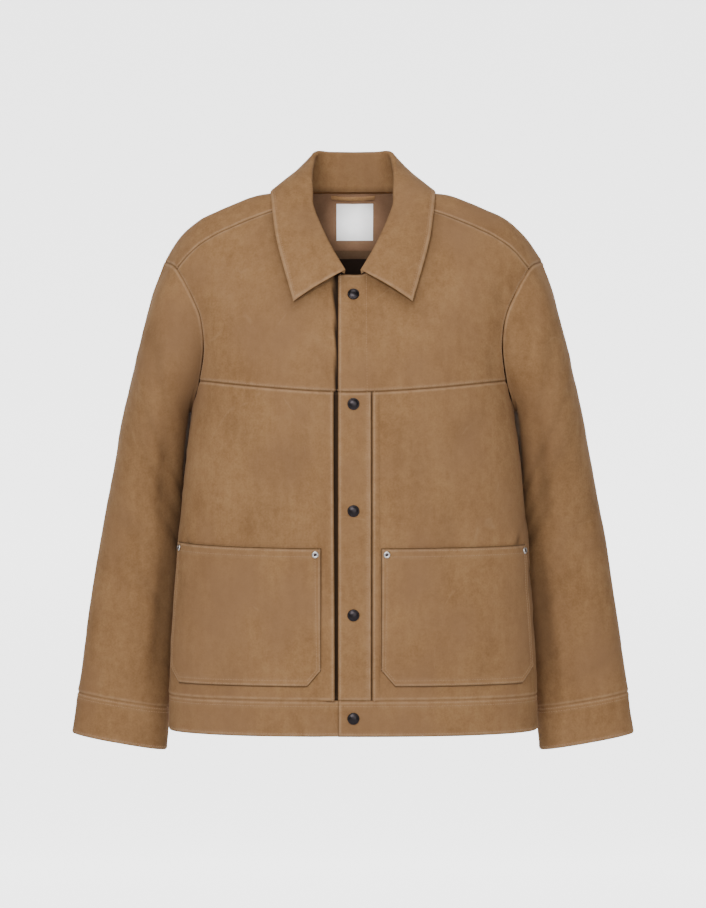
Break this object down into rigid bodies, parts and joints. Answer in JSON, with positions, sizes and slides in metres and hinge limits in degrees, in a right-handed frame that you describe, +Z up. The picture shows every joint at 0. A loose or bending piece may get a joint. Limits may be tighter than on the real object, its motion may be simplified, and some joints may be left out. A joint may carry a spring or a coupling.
{
  "type": "suede jacket",
  "caption": "Waist-length suede jacket with a pointed collar, snap placket, front yokes, patch pockets with riveted corners, waistband and cuffs, filled out with no wearer.",
  "frame": {"origin": "midway between the wearer's shoulders at the height of the neck's base, where the wearer holds the jacket up", "axes": "+Z up the wearer's spine, -Y out of the front, +X to the wearer's left"},
  "size_m": [0.736, 0.2478, 0.7939],
  "materials": {
    "camel_suede": "napped suede, matt",
    "taupe_facing": "matt",
    "brown_lining": "smooth woven lining",
    "white_label": "plain woven label, bare",
    "gunmetal": "dark polished metal",
    "silver_rivet": "satin"
  },
  "bodies": {
    "root": {"front_yoke_left": "camel_suede", "front_yoke_right": "camel_suede", "front_panel_left": "camel_suede", "front_panel_right": "camel_suede", "placket": "camel_suede", "under_placket": "camel_suede", "pocket_left": "camel_suede", "pocket_right": "camel_suede", "back": "camel_suede", "sleeve_left": "camel_suede", "sleeve_right": "camel_suede", "cuff_left": "camel_suede", "cuff_right": "camel_suede", "waistband_left": "camel_suede", "waistband_right": "camel_suede", "waistband_back": "camel_suede", "collar": "camel_suede", "hanger_loop": "camel_suede", "neck_facing": "taupe_facing", "back_lining": "brown_lining", "neck_label": "white_label", "snap_1": "gunmetal", "snap_2": "gunmetal", "snap_3": "gunmetal", "snap_4": "gunmetal", "snap_5": "gunmetal", "rivet_left_inner": "silver_rivet", "rivet_left_outer": "silver_rivet", "rivet_right_inner": "silver_rivet", "rivet_right_outer": "silver_rivet"}
  },
  "joints": []
}
